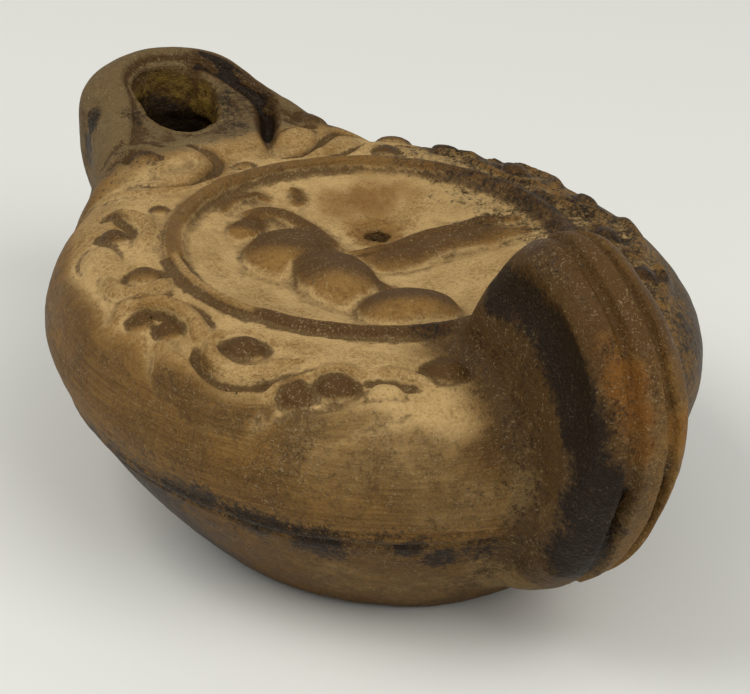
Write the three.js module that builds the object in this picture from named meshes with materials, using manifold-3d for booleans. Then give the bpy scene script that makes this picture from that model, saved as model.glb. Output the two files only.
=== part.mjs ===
// Roman oil lamp: one hollow piece of fired clay, moulded in two halves.
// Millimetres, +Z up, +Y towards the nozzle. The origin is at the middle of the flat underside.
import * as THREE from 'three';
import { mergeVertices } from 'three/addons/utils/BufferGeometryUtils.js';
import Module from 'manifold-3d';

const wasm = await Module();
wasm.setup();

// ---- driving dimensions ----

const body = {
  halfWidth: 38,        // widest, at height `beltZ`
  beltZ: 22.8,
  lengthRatio: 1.10,    // the oval's length over its width
  lowerFall: 0.1436,    // how fast the bowl draws in below the belt
  baseSlip: 3.5,        // the foot sits this much nearer the handle
  shoulderZ: 33,
  slump: 0.6,           // the shoulder sags by this much from left to right
  shoulderStart: 26,    // radius where the shoulder starts to fall
};

const rim = { x: 0.4, y: 0.6, inner: 22.7, crest: 23.7, outer: 25.2, height: 1.0 };
const discus = { floorDepth: 3.2, edgeDepth: 0.4 };

const nozzle = {
  rootY: 30,
  tipY: 61,
  halfWidth: 12.3,
  tipX: -1.3,           // the tip leans a little to the left
  rootSpread: 8.5,      // how much wider it gets towards the body
  leftSpread: 2.5,      // and a little more on the left
  spreadStartY: 50,
  spreadLength: 18,
  crownStart: 8,        // the top falls away beyond this distance from the axis
  crownFall: 0.018,
  bellyZ: 28,           // height at which it is widest
  topNearZ: 33.2,       // plateau beside the discus rim
  topTipZ: 36.7,        // plateau at the tip
  slopeStartY: 38,
  slopeEndY: 56,
  lipInset: 4.2,
  lipDrift: 1.4,        // on the left the lip runs into the wick hole's edge
  lipHeight: 1.2,
  holeX: -1.2,
  holeY: 47.5,
  holeHalfWidth: 5.5,
  holeHalfLength: 8.0,
  holeTurn: -13,        // degrees
  holeFloorZ: 22.5,
  flankFall: 0.022,     // how fast the flanks and the keel draw in below the belly
  keelFall: 0.14,
  bottomZ: 2.5,
  blend: 4,             // how softly it runs into the body
};

const fillingHole = { x: 5.1, y: 7.2, radius: 1.1 };

const handle = {
  leanX: 1.2,           // the fin stands a little to the right of the axis
  lowHalf: 6.6,         // half thickness at the back and at the top
  topHalf: 5.2,
  grooveDepth: 1.1,
  grooveAt: 0.34,       // share of the half thickness
  edgeRound: 3.8,
  rootFlare: 3.4,
  flareReach: 3.4,
};

// Side outline of the handle, (y, z), from its front foot over the top to the lower root.
const handleOutline = [
  [-22.5, 30], [-24.6, 35.6], [-27.4, 41.4], [-32.2, 47.2], [-38.5, 49.9], [-45.2, 47.6], [-50.6, 43],
  [-53.8, 35.5], [-53.9, 28.5], [-51.9, 22], [-48.3, 15.1], [-43.4, 10.1], [-36, 5.6], [-28, 6], [-24, 18],
];

const cavity = {
  wall: 3.6,
  floorZ: 4,
  ceilingZ: 29.2,
  underDiscus: 3,
  channelRadius: 6.6,
  channelFloorZ: 21,
  channelTopZ: 30,
};

const sliver = 0.01;    // facets thinner than this are closed after the joins

const clayColour = 0x8c7355;

// ---- ornament ----

// Shoulder and nozzle root: [x, y, length, width, turn in degrees, height, depth of the ring round it].
const shoulderMotifs = [
  [-17.8, 20.2, 3.0, 2.2, 60, 0.5, 0.3],
  [-25.7, 16.3, 5.0, 3.0, 100, 0.8, 0.3],
  [-29.6, 12.2, 8.6, 4.4, 78, 0.75, 0.1],
  [-22.2, 18.0, 9.0, 3.0, 95, 0.75, 0],
  [-27.7, 4.7, 4.8, 4.1, 80, 1.1, 0.45],
  [-30.6, 4.2, 6.4, 2.6, 100, 0.7, 0],
  [-28.8, -4.6, 11.5, 3.2, 98, 0.95, 0],
  [-32.2, -3.4, 3.6, 2.4, 100, 0.6, 0.2],
  [-30.7, -7.3, 4.2, 2.5, 98, 0.75, 0.3],
  [-31.6, -15.4, 14.5, 4.2, 104, 0.9, 0],
  [-26.0, -16.0, 5.2, 4.3, 105, 1.2, 0.45],
  [-28.8, -17.2, 8.5, 2.8, 106, 0.8, 0],
  [-25.2, -20.8, 6.5, 2.6, 165, 0.8, 0],
  [-22.0, -24.0, 10.0, 2.6, 160, 0.55, 0],
  [-24.7, -25.2, 3.8, 2.8, 135, 0.7, 0.3],
  [-20.9, -27.0, 4.6, 3.4, 145, 1.1, 0.4],
  [-22.4, -30.0, 12.0, 2.6, 150, 0.6, 0],
  [-16.8, -30.3, 4.0, 3.0, 150, 0.75, 0.2],
  [-9.4, -30.4, 4.8, 4.0, 165, 1.0, 0.4],
  [-12.4, 34.9, 4.0, 3.2, 150, 0.8, 0.4],
  [-9.0, 31.2, 6.6, 5.2, 60, 0.5, 0.3],
  [8.0, 31.7, 6.6, 4.2, 20, 0.6, 0.3],
  [12.9, 36.2, 5.0, 3.2, 110, 1.0, 0.2],
  [15.9, 22.9, 4.2, 2.8, 45, 0.85, 0.3],
  [20.6, 28.4, 5.2, 3.0, 150, 0.9, 0.2],
  [25.0, 22.6, 4.6, 3.0, 130, 0.8, 0.3],
  [22.6, 20.4, 8.5, 2.4, 130, 0.6, 0],
  [27.9, 11.2, 4.8, 3.4, 95, 1.0, 0.4],
  [31.0, 14.4, 8.0, 2.6, 105, 0.75, 0.1],
  [26.4, 0.0, 10.5, 2.6, 100, 0.75, 0],
  [31.4, 0.4, 4.6, 2.6, 85, 0.8, 0.2],
  [26.2, -10.9, 4.9, 3.6, 80, 1.1, 0.4],
  [31.0, -9.6, 11.0, 2.6, 70, 0.8, 0],
  [24.7, -20.6, 4.4, 3.6, 50, 1.0, 0.4],
  [27.0, -21.6, 9.0, 2.4, 58, 0.7, 0],
  [17.2, -27.6, 4.2, 3.6, 20, 0.9, 0.3],
];

// Discus: a worn figure in soft lumps, [x, y, length, width, turn in degrees, height].
const discusMotifs = [
  [-8.1, 5.8, 14.4, 10.4, 40, 2.2],
  [-6.6, -3.4, 16.4, 10.0, 75, 2.8],
  [-4.4, -14.8, 12.4, 11.6, 80, 2.7],
  [-6.0, 14.8, 8.5, 4.0, 15, 1.3],
  [-2.4, 10.4, 8.6, 3.8, 98, 1.3],
  [-8.0, 19.6, 8.0, 2.6, 20, 0.7],
  [9.4, 2.2, 23.0, 4.6, -6, 1.6],
  [9.0, 0.2, 20.0, 7.0, -8, 1.1],
];

// ---- small helpers ----

const clamp = (value, low, high) => Math.min(high, Math.max(low, value));
const mix = (a, b, t) => a + (b - a) * t;
const radians = THREE.MathUtils.degToRad;

function smoothStep(low, high, value) {
  const t = clamp((value - low) / (high - low), 0, 1);
  return t * t * (3 - 2 * t);
}

function smoothMin(a, b, blend) {
  const h = clamp(0.5 + 0.5 * (b - a) / blend, 0, 1);
  return mix(b, a, h) - blend * h * (1 - h);
}

const smoothMax = (a, b, blend) => -smoothMin(-a, -b, blend);

// A soft dome of height 1 at 0 that ends at 1.
const dome = (t) => (t >= 1 ? 0 : (1 - t * t) ** 1.3);

// Where (x, y) lies in the frame of an oval: 0 at its middle, 1 on its edge.
function ovalReach(x, y, centreX, centreY, length, width, turn) {
  const dx = x - centreX;
  const dy = y - centreY;
  const along = dx * Math.cos(turn) + dy * Math.sin(turn);
  const across = dy * Math.cos(turn) - dx * Math.sin(turn);
  return Math.hypot(along / (length / 2), across / (width / 2));
}

// ---- relief heights over the plan ----

function shoulderRelief(x, y) {
  let height = 0;
  let hollow = 0;
  for (const [centreX, centreY, length, width, turn, rise, ringDepth] of shoulderMotifs) {
    const reach = ovalReach(x, y, centreX, centreY, length, width, radians(turn));
    height = Math.max(height, rise * Math.sqrt(dome(reach)));
    hollow = Math.max(hollow, ringDepth * dome(Math.abs(reach - 1.3) / 0.4));
  }
  return height - hollow;
}

function discusRelief(x, y) {
  let height = 0;
  for (const [centreX, centreY, length, width, turn, rise] of discusMotifs) {
    const reach = ovalReach(x, y, centreX, centreY, length, width, radians(turn));
    height = Math.max(height, rise * Math.sqrt(dome(reach)));
  }
  return height;
}

// Height of rim, discus and ornament over the plain shoulder.
function topRelief(x, y) {
  const radius = Math.hypot(x - rim.x, y - rim.y);
  if (radius < rim.inner) {
    const dish = mix(discus.floorDepth, discus.edgeDepth, (radius / rim.inner) ** 2.4);
    return discusRelief(x, y) - dish;
  }
  if (radius < rim.crest) return mix(-discus.edgeDepth, rim.height, smoothStep(rim.inner, rim.crest, radius));
  if (radius < rim.outer) return rim.height * (1 - smoothStep(rim.crest, rim.outer, radius));
  return shoulderRelief(x, y);
}

// ---- the solid as a field: negative inside, about millimetres outside ----

function bodyReach(x, y, z) {
  const centreY = -body.baseSlip * clamp(1 - z / body.beltZ, 0, 1);
  return Math.hypot(x, (y - centreY) / body.lengthRatio);
}

function plainBody(x, y, z) {
  const reach = bodyReach(x, y, z);
  if (z < body.beltZ) return reach - body.halfWidth + body.lowerFall * (body.beltZ - z) ** 1.5;
  const across = Math.max(reach - body.shoulderStart, 0) / (body.halfWidth - body.shoulderStart);
  const up = (z - body.beltZ) / (body.shoulderZ - body.beltZ);
  return (Math.hypot(across ** 1.1, up) - 1) * (body.shoulderZ - body.beltZ);
}

function bodyField(x, y, z) {
  const slump = body.slump * x / body.halfWidth * smoothStep(25, 31, z);
  return plainBody(x, y, z) + slump - topRelief(x, y) * smoothStep(18, 27, z);
}

// Distance from the nozzle's side wall in plan.
function nozzleSide(x, y, z) {
  const below = Math.max(nozzle.bellyZ - z, 0) ** 1.7;
  const halfWidth = nozzle.halfWidth - nozzle.flankFall * below;
  const tipY = nozzle.tipY - nozzle.keelFall * below;
  const along = Math.max(y - (tipY - halfWidth), 0);
  const spread = clamp((nozzle.spreadStartY - y) / nozzle.spreadLength, 0, 1);
  const axisX = nozzle.tipX * smoothStep(nozzle.rootY, nozzle.tipY, y);
  const rootSpread = nozzle.rootSpread + nozzle.leftSpread * smoothStep(0, -8, x);
  return Math.hypot(x - axisX, along) - halfWidth - rootSpread * spread ** 1.4;
}

function nozzleTopZ(x, y) {
  const plateau = mix(nozzle.topNearZ, nozzle.topTipZ, smoothStep(nozzle.slopeStartY, nozzle.slopeEndY, y));
  const inset = -nozzleSide(x, y, nozzle.bellyZ);
  const fade = smoothStep(34, 40, y);
  const lipInset = nozzle.lipInset + nozzle.lipDrift * smoothStep(2, -7, x);
  const lip = nozzle.lipHeight * fade * smoothStep(lipInset + 1.6, lipInset, inset);
  const outerFall = 0.08 * Math.max(lipInset - inset, 0) ** 2;
  const rootFall = 0.16 * Math.max(nozzle.rootY + 5 - y, 0) ** 2;
  const crownFall = nozzle.crownFall * Math.max(Math.abs(x - nozzle.tipX) - nozzle.crownStart, 0) ** 2;
  return plateau + lip - outerFall - rootFall - crownFall;
}

function nozzleField(x, y, z) {
  const closed = Math.max(nozzleSide(x, y, z), nozzle.bottomZ - z);
  return smoothMax(closed, z - nozzleTopZ(x, y), 3);
}

function lampField(x, y, z) {
  return smoothMin(bodyField(x, y, z), nozzleField(x, y, z), nozzle.blend);
}

// ---- meshing by rays ----

// The first place outside `field` along a ray that starts inside.
function castRay(field, start, direction, reach) {
  const point = new THREE.Vector3();
  const at = (t) => {
    point.copy(direction).multiplyScalar(t).add(start);
    return field(point.x, point.y, point.z);
  };
  const step = 0.8;
  let outside = reach;
  for (let t = step; t < reach; t += step) {
    if (at(t) > 0) {
      outside = t;
      break;
    }
  }
  let inside = outside - step;
  for (let i = 0; i < 22; i += 1) {
    const middle = (inside + outside) / 2;
    if (at(middle) > 0) outside = middle;
    else inside = middle;
  }
  return point.copy(direction).multiplyScalar(inside).add(start).clone();
}

// A closed solid from a first point, rings of points and a last point. A ring may have
// the same number of points as the one before it, twice as many, or half.
function ringSolid(firstPoint, rings, lastPoint) {
  const points = [firstPoint, ...rings.flat(), lastPoint];
  const indices = [];
  let start = 1;
  const first = rings[0].length;
  for (let i = 0; i < first; i += 1) indices.push(0, start + i, start + (i + 1) % first);
  for (let r = 1; r < rings.length; r += 1) {
    const n = rings[r - 1].length;
    const m = rings[r].length;
    const next = start + n;
    const coarse = Math.min(n, m);
    for (let i = 0; i < coarse; i += 1) {
      const j = (i + 1) % coarse;
      if (m === n) {
        indices.push(start + i, next + i, next + j, start + i, next + j, start + j);
      } else if (m === 2 * n) {
        const last = next + (2 * i + 2) % m;
        indices.push(start + i, next + 2 * i, next + 2 * i + 1);
        indices.push(start + i, next + 2 * i + 1, start + j);
        indices.push(start + j, next + 2 * i + 1, last);
      } else {
        const last = start + (2 * i + 2) % n;
        indices.push(start + 2 * i, next + i, start + 2 * i + 1);
        indices.push(start + 2 * i + 1, next + i, next + j);
        indices.push(start + 2 * i + 1, next + j, last);
      }
    }
    start = next;
  }
  const n = rings.at(-1).length;
  for (let i = 0; i < n; i += 1) indices.push(points.length - 1, start + (i + 1) % n, start + i);
  return toManifold(points, indices);
}

function toManifold(points, indices) {
  const geometry = new THREE.BufferGeometry();
  geometry.setAttribute('position', new THREE.Float32BufferAttribute(points.flatMap((p) => [p.x, p.y, p.z]), 3));
  geometry.setIndex(indices);
  return geometryToManifold(geometry);
}

function geometryToManifold(source) {
  const geometry = source.clone();
  geometry.deleteAttribute('normal');
  geometry.deleteAttribute('uv');
  const merged = mergeVertices(geometry, 1e-4);
  return new wasm.Manifold(new wasm.Mesh({
    numProp: 3,
    vertProperties: new Float32Array(merged.attributes.position.array),
    triVerts: new Uint32Array(merged.index.array),
  }));
}

function manifoldToGeometry(solid) {
  const mesh = solid.getMesh();
  const geometry = new THREE.BufferGeometry();
  geometry.setAttribute('position', new THREE.BufferAttribute(mesh.vertProperties, 3));
  geometry.setIndex(new THREE.BufferAttribute(mesh.triVerts, 1));
  geometry.computeVertexNormals();
  return geometry;
}

// ---- body and nozzle ----

// Directions round a ring as unit vectors in the plan, closer together towards the nozzle.
function ringDirections(count, crowding = 0) {
  return Array.from({ length: count }, (_, i) => {
    const turn = (i / count) * 2 * Math.PI;
    const angle = turn + crowding * Math.cos(turn);
    return new THREE.Vector3(Math.cos(angle), Math.sin(angle), 0);
  });
}

function bodySolid() {
  const fine = 128;
  const round = (count) => ringDirections(count, 0.38);
  const up = new THREE.Vector3(0, 0, 1);
  const onTop = (x, y) => {
    const startZ = mix(18, nozzle.bellyZ, smoothStep(30, 44, Math.hypot(x, y)));
    return castRay(lampField, new THREE.Vector3(x, y, startZ), up, 40);
  };
  const onWall = (direction, z) => {
    const start = new THREE.Vector3(0, -body.baseSlip * clamp(1 - z / body.beltZ, 0, 1), z);
    return castRay(lampField, start, direction, 80);
  };
  const rings = [];
  const discusRings = [
    [fine / 4, [2.6, 5]],
    [fine / 2, [7, 8.8, 10.6, 12.4, 14.2, 16, 17.8, 19.8]],
    [fine, [21.2, rim.inner - 0.2, rim.inner + 0.5, rim.crest + 0.5, rim.outer]],
  ];
  const rimPlace = (d, radius) => [rim.x + d.x * radius, rim.y + d.y * radius];
  for (const [count, radii] of discusRings) {
    for (const radius of radii) rings.push(round(count).map((d) => onTop(...rimPlace(d, radius))));
  }
  const edge = round(fine).map((d) => onWall(d, nozzle.bellyZ - 2));
  const shoulderSteps = [0.09, 0.18, 0.27, 0.36, 0.45, 0.54, 0.63, 0.72, 0.8, 0.87, 0.93, 0.98];
  for (const step of shoulderSteps) {
    rings.push(round(fine).map((d, i) => {
      const [rimX, rimY] = rimPlace(d, rim.outer);
      return onTop(mix(rimX, edge[i].x, step), mix(rimY, edge[i].y, step));
    }));
  }
  for (const z of [26, body.beltZ, 19.6]) rings.push(round(fine).map((d) => onWall(d, z)));
  for (const z of [16.7, 12.6, 8.6, 4.3, 0]) rings.push(round(fine / 2).map((d) => onWall(d, z)));
  return ringSolid(onTop(rim.x, rim.y), rings, new THREE.Vector3(0, -body.baseSlip, 0));
}

// ---- handle ----

function handleSolid() {
  const curve = new THREE.CatmullRomCurve3(handleOutline.map(([y, z]) => new THREE.Vector3(0, y, z)), true);
  const outline = curve.getSpacedPoints(40).slice(0, -1);
  const middle = new THREE.Vector3(0, -35.5, 26);
  const faceSteps = [0.4, 0.56, 0.7, 0.84];
  const edgeSteps = [0.94, 0.78, 0.6, 0.47, 0.34, 0.2, 0, -0.2, -0.34, -0.47, -0.6, -0.78, -0.94];
  const halfThickness = (y, z) => {
    const clear = Math.max(plainBody(handle.leanX, y, z), 0);
    const flare = handle.rootFlare * smoothStep(2, 14, z);
    const half = mix(handle.lowHalf, handle.topHalf, smoothStep(30, 48, z));
    return half + flare * Math.exp(-clear / handle.flareReach);
  };
  const facePoint = (p, step, side) => {
    const y = mix(middle.y, p.y, step);
    const z = mix(middle.z, p.z, step);
    const inset = (1 - step) * Math.hypot(p.y - middle.y, p.z - middle.z);
    const round = Math.max(1 - inset / handle.edgeRound, 0) ** 2;
    return new THREE.Vector3(handle.leanX + side * halfThickness(y, z) * (1 - 0.18 * round), y, z);
  };
  const edgePoint = (p, across) => {
    const outward = p.clone().sub(middle).normalize();
    const ribbed = smoothStep(-31, -38, p.y);
    const groove = handle.grooveDepth * ribbed * dome(Math.abs(Math.abs(across) - handle.grooveAt) / 0.15);
    const inset = handle.edgeRound * (1 - Math.sqrt(1 - across * across)) + groove;
    const at = p.clone().addScaledVector(outward, -inset);
    return new THREE.Vector3(handle.leanX + across * halfThickness(at.y, at.z), at.y, at.z);
  };
  const rings = [
    ...faceSteps.map((step) => outline.map((p) => facePoint(p, step, 1))),
    ...edgeSteps.map((across) => outline.map((p) => edgePoint(p, across))),
    ...faceSteps.toReversed().map((step) => outline.map((p) => facePoint(p, step, -1))),
  ];
  const centre = (side) => new THREE.Vector3(handle.leanX + side * halfThickness(middle.y, middle.z), middle.y, middle.z);
  return ringSolid(centre(1), rings, centre(-1));
}

// ---- hollow inside ----

function cavitySolid() {
  const field = (x, y, z) => {
    const radius = Math.hypot(x, y);
    const dip = cavity.underDiscus * smoothStep(26, 14, radius);
    return Math.max(plainBody(x, y, z) + cavity.wall, z - cavity.ceilingZ + dip, cavity.floorZ - z);
  };
  const directions = ringDirections(32);
  const up = new THREE.Vector3(0, 0, 1);
  const onTop = (x, y) => castRay(field, new THREE.Vector3(x, y, 15), up, 30);
  const rings = [14, 20, 24, 27].map((r) => directions.map((d) => onTop(d.x * r, d.y * r)));
  for (const z of [25.5, 21, 15, 9, cavity.floorZ + 0.05]) {
    rings.push(directions.map((d) => castRay(field, new THREE.Vector3(0, -1, z), d, 60)));
  }
  return ringSolid(onTop(0, 0), rings, new THREE.Vector3(0, -1, cavity.floorZ));
}

// The way from the oil chamber to the wick: a round-ended channel under the nozzle's top.
function channelSolid() {
  const shape = new THREE.Shape();
  shape.absarc(nozzle.holeX, nozzle.holeY, cavity.channelRadius, 0, Math.PI);
  shape.lineTo(-cavity.channelRadius, 20);
  shape.lineTo(cavity.channelRadius, 20);
  shape.closePath();
  const depth = cavity.channelTopZ - cavity.channelFloorZ;
  const geometry = new THREE.ExtrudeGeometry(shape, { depth, bevelEnabled: false, curveSegments: 14 });
  geometry.translate(0, 0, cavity.channelFloorZ);
  return geometryToManifold(geometry);
}

// An upright hole, oval in plan, open at the top.
function uprightHole(x, y, halfWidth, halfLength, turn, bottomZ, sides) {
  const height = 60 - bottomZ;
  const geometry = new THREE.CylinderGeometry(1, 1, height, sides);
  geometry.rotateX(Math.PI / 2);
  geometry.scale(halfWidth, halfLength, 1);
  geometry.rotateZ(radians(turn));
  geometry.translate(x, y, bottomZ + height / 2);
  return geometryToManifold(geometry);
}

const wickHole = uprightHole(
  nozzle.holeX,
  nozzle.holeY,
  nozzle.holeHalfWidth,
  nozzle.holeHalfLength,
  nozzle.holeTurn,
  nozzle.holeFloorZ,
  36,
);
const oilHole = uprightHole(fillingHole.x, fillingHole.y, fillingHole.radius, fillingHole.radius, 0, 20, 10);

const lamp = bodySolid()
  .add(handleSolid())
  .subtract(cavitySolid())
  .subtract(channelSolid())
  .subtract(wickHole)
  .subtract(oilHole)
  .setTolerance(sliver);

const object = new THREE.Group();
const mesh = new THREE.Mesh(
  manifoldToGeometry(lamp),
  new THREE.MeshStandardMaterial({ color: clayColour, roughness: 0.85, metalness: 0 }),
);
mesh.name = 'lamp';
object.add(mesh);

export default object;
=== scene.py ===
import math
import bpy
import numpy as np
from mathutils import Matrix, Vector


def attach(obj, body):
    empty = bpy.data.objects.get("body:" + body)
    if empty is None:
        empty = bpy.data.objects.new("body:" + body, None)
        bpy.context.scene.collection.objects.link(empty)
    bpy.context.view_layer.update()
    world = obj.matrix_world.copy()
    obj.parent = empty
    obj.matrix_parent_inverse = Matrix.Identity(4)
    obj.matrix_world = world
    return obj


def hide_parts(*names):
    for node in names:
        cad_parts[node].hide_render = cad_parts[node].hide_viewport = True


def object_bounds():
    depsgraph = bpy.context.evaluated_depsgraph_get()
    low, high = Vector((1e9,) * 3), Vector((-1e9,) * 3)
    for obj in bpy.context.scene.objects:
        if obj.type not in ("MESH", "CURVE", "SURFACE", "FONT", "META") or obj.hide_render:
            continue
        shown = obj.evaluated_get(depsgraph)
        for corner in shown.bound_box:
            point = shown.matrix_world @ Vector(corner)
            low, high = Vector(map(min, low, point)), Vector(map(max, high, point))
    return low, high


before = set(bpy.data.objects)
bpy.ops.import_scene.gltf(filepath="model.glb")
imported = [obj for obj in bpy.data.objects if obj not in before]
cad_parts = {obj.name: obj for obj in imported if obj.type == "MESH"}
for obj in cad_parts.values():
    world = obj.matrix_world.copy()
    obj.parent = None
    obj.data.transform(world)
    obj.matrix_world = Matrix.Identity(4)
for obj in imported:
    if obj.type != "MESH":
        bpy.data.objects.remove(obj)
cadBox = [list(corner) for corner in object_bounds()]
mm = 0.001


# Small helpers for soft steps and blends between numbers.
def smoothStep(low, high, value):
    t = np.clip((value - low) / (high - low), 0, 1)
    return t * t * (3 - 2 * t)


def mix(a, b, t):
    return a + (b - a) * t


def smoothMin(a, b, blend):
    h = np.clip(0.5 + 0.5 * (b - a) / blend, 0, 1)
    return mix(b, a, h) - blend * h * (1 - h)


def smoothMax(a, b, blend):
    return -smoothMin(-a, -b, blend)


def dome(t, power=1.3):
    return np.clip(1 - t * t, 0, 1) ** power


# A grid of values over a rectangle, read between its cells.
class Chart:
    def __init__(self, lowU, highU, lowV, highV, step):
        self.low, self.step = (lowU, lowV), step
        sides = np.arange(lowU, highU, step), np.arange(lowV, highV, step)
        self.u, self.v = np.meshgrid(*sides, indexing="ij")
        self.value = np.zeros(self.u.shape)

    def soften(self, radius):
        reach = int(3 * radius / self.step) + 1
        weights = np.exp(-0.5 * (np.arange(-reach, reach + 1) * self.step / radius) ** 2)
        weights /= weights.sum()
        for axis in (0, 1):
            edges = [(reach, reach) if i == axis else (0, 0) for i in (0, 1)]
            padded = np.pad(self.value, edges, mode="edge")
            size = self.value.shape[axis]
            self.value = sum(w * padded.take(range(i, i + size), axis) for i, w in enumerate(weights))
        return self

    def read(self, u, v):
        a = np.clip((u - self.low[0]) / self.step, 0, self.value.shape[0] - 1.001)
        b = np.clip((v - self.low[1]) / self.step, 0, self.value.shape[1] - 1.001)
        i, j = a.astype(int), b.astype(int)
        s, t = a - i, b - j
        g = self.value
        near = g[i, j] * (1 - t) + g[i, j + 1] * t
        far = g[i + 1, j] * (1 - t) + g[i + 1, j + 1] * t
        return near * (1 - s) + far * s


# Soft lumps of noise about 0, one octave with cells of the given size.
def lumps(x, y, z, cell, seed):
    lattice = np.random.default_rng(seed).uniform(-1, 1, (32, 32, 32))
    p = [np.asarray(c) / cell + 640 for c in (x, y, z)]
    low = [np.floor(c).astype(int) for c in p]
    t = [smoothStep(0, 1, c - i) for c, i in zip(p, low)]
    total = 0
    for i in (0, 1):
        for j in (0, 1):
            for k in (0, 1):
                weight = (t[0] if i else 1 - t[0]) * (t[1] if j else 1 - t[1]) * (t[2] if k else 1 - t[2])
                total = total + weight * lattice[(low[0] + i) % 32, (low[1] + j) % 32, (low[2] + k) % 32]
    return total


# A smooth line through a few points, as many short straight steps.
def smoothLine(points, steps=8, closed=False):
    p = np.array(points, float)
    p = np.vstack([p[-1], p, p[:2]]) if closed else np.vstack([2 * p[0] - p[1], p, 2 * p[-1] - p[-2]])
    t = np.arange(steps)[:, None] / steps
    parts = []
    for a, b, c, d in zip(p, p[1:], p[2:], p[3:]):
        parts.append(0.5 * (2 * b + (c - a) * t + (2 * a - 5 * b + 4 * c - d) * t ** 2
                            + (3 * b - 3 * c + d - a) * t ** 3))
    return np.vstack(parts if closed else parts + [p[-2:-1]])


# Distance from every place to a line, and how far along it the nearest place is, from 0 to 1.
def lineReach(u, v, line):
    best = np.full(u.shape, 1e9)
    along = np.zeros(u.shape)
    last = len(line) - 1
    for i in range(last):
        a, b = line[i], line[i + 1]
        d = b - a
        t = np.clip(((u - a[0]) * d[0] + (v - a[1]) * d[1]) / max(d @ d, 1e-9), 0, 1)
        reach = np.hypot(u - a[0] - t * d[0], v - a[1] - t * d[1])
        closer = reach < best
        best = np.where(closer, reach, best)
        along = np.where(closer, (i + t) / last, along)
    return best, along


body = {                                           # all sizes are in millimetres
    "halfWidth": 38, "beltZ": 22.8, "lengthRatio": 1.10, "lowerFall": 0.1436, "baseSlip": 3.5,
    "shoulderZ": 33, "shoulderStart": 26, "slump": 0.6,
}
rim = {"x": 0.4, "y": 0.6, "inner": 22.7, "crest": 23.6, "outer": 24.7, "height": 1.0}
discus = {"floorDepth": 3.2, "edgeDepth": 0.4}
nozzle = {
    "rootY": 30, "tipY": 61, "halfWidth": 12.3, "tipX": -1.3, "rootSpread": 8.5, "leftSpread": 2.5,
    "spreadStartY": 50, "spreadLength": 18, "crownStart": 8, "crownFall": 0.018, "bellyZ": 28,
    "topNearZ": 33.2, "topTipZ": 36.7, "slopeStartY": 38, "slopeEndY": 56, "edgeInset": 4.2,
    "leftInset": 1.4, "lipHeight": 1.2, "lipFromY": 36, "outerFall": 0.08, "rootFall": 0.16, "topEdge": 3,
     "flankFall": 0.022, "keelFall": 0.14, "bottomZ": 2.5, "blend": 4,
}
wickHole = {
    "x": -1.2, "y": 47.5, "halfLong": 8.0, "halfWide": 5.5, "turn": -13, "floorZ": 22.5, "edge": 0.6,
    "narrowing": 0.16, "wobble": (0.22, 0.14, 0.1),
}
fillingHole = {"x": 5.1, "y": 7.2, "radius": 1.35, "edge": 0.2, "ragged": 0.4}
cavity = {
    "wall": 3.6, "floorZ": 4, "ceilingZ": 29.2, "underDiscus": 3,
    "channelRadius": 6.6, "channelFloorZ": 21, "channelTopZ": 30, "channelStartY": 20,
}


def plainBody(x, y, z):
    centreY = -body["baseSlip"] * np.clip(1 - z / body["beltZ"], 0, 1)
    reach = np.hypot(x, (y - centreY) / body["lengthRatio"])
    below = np.clip(body["beltZ"] - z, 0, None)
    lower = reach - body["halfWidth"] + body["lowerFall"] * below ** 1.5
    tall = body["shoulderZ"] - body["beltZ"]
    across = np.clip(reach - body["shoulderStart"], 0, None) / (body["halfWidth"] - body["shoulderStart"])
    up = np.clip(z - body["beltZ"], 0, None) / tall
    return np.where(z < body["beltZ"], lower, (np.hypot(across ** 1.1, up) - 1) * tall)


def nozzleSide(x, y, z):
    below = np.clip(nozzle["bellyZ"] - z, 0, None) ** 1.7
    halfWidth = nozzle["halfWidth"] - nozzle["flankFall"] * below
    tipY = nozzle["tipY"] - nozzle["keelFall"] * below
    along = np.clip(y - (tipY - halfWidth), 0, None)
    spread = np.clip((nozzle["spreadStartY"] - y) / nozzle["spreadLength"], 0, 1)
    axisX = nozzle["tipX"] * smoothStep(nozzle["rootY"], nozzle["tipY"], y)
    rootSpread = nozzle["rootSpread"] + nozzle["leftSpread"] * smoothStep(0, -8, x)
    return np.hypot(x - axisX, along) - halfWidth - rootSpread * spread ** 1.4


def nozzleTopZ(x, y):
    slope = smoothStep(nozzle["slopeStartY"], nozzle["slopeEndY"], y)
    plateau = mix(nozzle["topNearZ"], nozzle["topTipZ"], slope)
    inset = -nozzleSide(x, y, nozzle["bellyZ"])
    edgeInset = nozzle["edgeInset"] + nozzle["leftInset"] * smoothStep(2, -7, x)
    lip = nozzle["lipHeight"] * smoothStep(nozzle["lipFromY"], nozzle["lipFromY"] + 6, y)
    lip *= smoothStep(edgeInset + 0.7, edgeInset - 0.3, inset)
    outerFall = nozzle["outerFall"] * np.clip(edgeInset - inset, 0, None) ** 2
    rootFall = nozzle["rootFall"] * np.clip(nozzle["rootY"] + 5 - y, 0, None) ** 2
    pastCrown = np.clip(abs(x - nozzle["tipX"]) - nozzle["crownStart"], 0, None)
    crownFall = nozzle["crownFall"] * pastCrown ** 2
    return plateau + lip - outerFall - rootFall - crownFall


def nozzleField(x, y, z):
    closed = np.maximum(nozzleSide(x, y, z), nozzle["bottomZ"] - z)
    return smoothMax(closed, z - nozzleTopZ(x, y), nozzle["topEdge"])


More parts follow.
